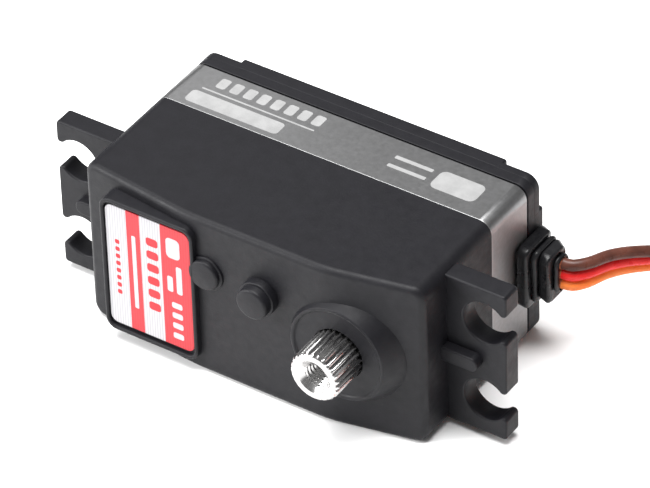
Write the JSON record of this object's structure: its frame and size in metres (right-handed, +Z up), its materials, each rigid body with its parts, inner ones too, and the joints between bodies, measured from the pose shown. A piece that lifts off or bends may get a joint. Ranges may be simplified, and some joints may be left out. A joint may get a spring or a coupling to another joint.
{
  "type": "servo motor",
  "caption": "Low-profile digital servo: geared coreless motor in a three-part case, splined output shaft, mounting ears and a three-wire lead with plug.",
  "frame": {"origin": "centre of the box around the servo without its lead, on the side face that it lies on", "axes": "+X along the case towards the output shaft and the lead, -Y the way the output shaft points, +Z up as it lies on its side"},
  "size_m": [0.1155, 0.0521, 0.0202],
  "materials": {
    "black_nylon": "fine moulded texture, satin",
    "satin_aluminium": "satin brushed, anodised clear",
    "black_screw": "black oxide",
    "label_film": "printed film, semi-gloss",
    "black_rubber": "matte",
    "steel": "machined, bright",
    "bearing_steel": "ground and polished",
    "gear_brass": "machined",
    "gear_alloy": "hard-anodised, machined",
    "magnet": "nickel-plated",
    "copper_winding": "enamelled wire, varnished",
    "motor_plastic": "moulded",
    "pot_plastic": "moulded",
    "pot_white": "moulded",
    "board_green": "solder mask",
    "chip_black": "moulded epoxy",
    "ceramic": "fired ceramic",
    "wire_insulation": "soft PVC, three colours side by side",
    "tie_plastic": "moulded nylon",
    "connector_plastic": "moulded",
    "contact_gold": "gold flash"
  },
  "bodies": {
    "case": {"top_case": "black_nylon", "middle_case": "satin_aluminium", "bottom_cover": "black_nylon", "case_screws": "black_screw", "name_label": "label_film", "cable_grommet": "black_rubber", "front_bearing_outer": "bearing_steel", "rear_bearing_outer": "bearing_steel", "gear_pin_a": "steel", "gear_pin_b": "steel", "motor_can": "steel", "motor_magnet": "magnet", "motor_bushes": "gear_brass", "motor_end_cap": "motor_plastic", "motor_brushes": "gear_brass", "motor_terminals": "contact_gold", "motor_screws": "black_screw", "potentiometer_body": "pot_plastic", "circuit_board": "board_green", "control_chip": "chip_black", "power_transistors": "chip_black", "board_capacitors": "ceramic", "lead_tails": "wire_insulation", "servo_lead": "wire_insulation", "lead_coil": "wire_insulation", "lead_end": "wire_insulation", "coil_tie": "tie_plastic", "connector_housing": "connector_plastic", "connector_contacts": "contact_gold"},
    "rotor": {"motor_shaft": "steel", "motor_pinion": "gear_brass", "motor_winding": "copper_winding", "motor_commutator": "gear_brass"},
    "first_gear": {"first_gear": "gear_brass"},
    "second_gear": {"second_gear": "gear_brass"},
    "third_gear": {"third_gear": "gear_alloy"},
    "fourth_gear": {"fourth_gear": "gear_alloy"},
    "output": {"output_gear": "steel", "front_bearing_inner": "bearing_steel", "rear_bearing_inner": "bearing_steel", "potentiometer_shaft": "pot_white"},
    "front_balls": {"front_bearing_balls": "bearing_steel"},
    "rear_balls": {"rear_bearing_balls": "bearing_steel"}
  },
  "joints": [
    {"name": "rotor_spin", "type": "hinge", "parent": "case", "child": "rotor", "pos_m": [-0.00958, -0.01002, 0.0101], "axis": [0, -1, 0], "range_deg": [-10990, 10990]},
    {"name": "first_gear_spin", "type": "hinge", "parent": "case", "child": "first_gear", "pos_m": [-0.00445, -0.01002, 0.0135], "axis": [0, -1, 0], "range_deg": [-3100, 3100]},
    {"name": "second_gear_spin", "type": "hinge", "parent": "case", "child": "second_gear", "pos_m": [0.0023, -0.01002, 0.0135], "axis": [0, -1, 0], "range_deg": [-1125, 1125]},
    {"name": "third_gear_spin", "type": "hinge", "parent": "case", "child": "third_gear", "pos_m": [-0.00445, -0.01002, 0.0135], "axis": [0, -1, 0], "range_deg": [-410, 410]},
    {"name": "fourth_gear_spin", "type": "hinge", "parent": "case", "child": "fourth_gear", "pos_m": [0.0023, -0.01002, 0.0135], "axis": [0, -1, 0], "range_deg": [-150, 150]},
    {"name": "output_turn", "type": "hinge", "parent": "case", "child": "output", "pos_m": [0.0117, -0.01002, 0.0101], "axis": [0, -1, 0], "range_deg": [-70, 70]},
    {"name": "front_balls_roll", "type": "hinge", "parent": "case", "child": "front_balls", "pos_m": [0.0117, -0.01002, 0.0101], "axis": [0, -1, 0], "range_deg": [-30, 30]},
    {"name": "rear_balls_roll", "type": "hinge", "parent": "case", "child": "rear_balls", "pos_m": [0.0117, -0.01002, 0.0101], "axis": [0, -1, 0], "range_deg": [-30, 30]}
  ],
  "couplings": [
    {"joint": "first_gear_spin", "follows": "rotor_spin", "ratio": -0.28125},
    {"joint": "second_gear_spin", "follows": "rotor_spin", "ratio": 0.10227},
    {"joint": "third_gear_spin", "follows": "rotor_spin", "ratio": -0.03719},
    {"joint": "fourth_gear_spin", "follows": "rotor_spin", "ratio": 0.013524},
    {"joint": "output_turn", "follows": "rotor_spin", "ratio": -0.0063641},
    {"joint": "front_balls_roll", "follows": "rotor_spin", "ratio": -0.0023865},
    {"joint": "rear_balls_roll", "follows": "rotor_spin", "ratio": -0.0024477}
  ]
}
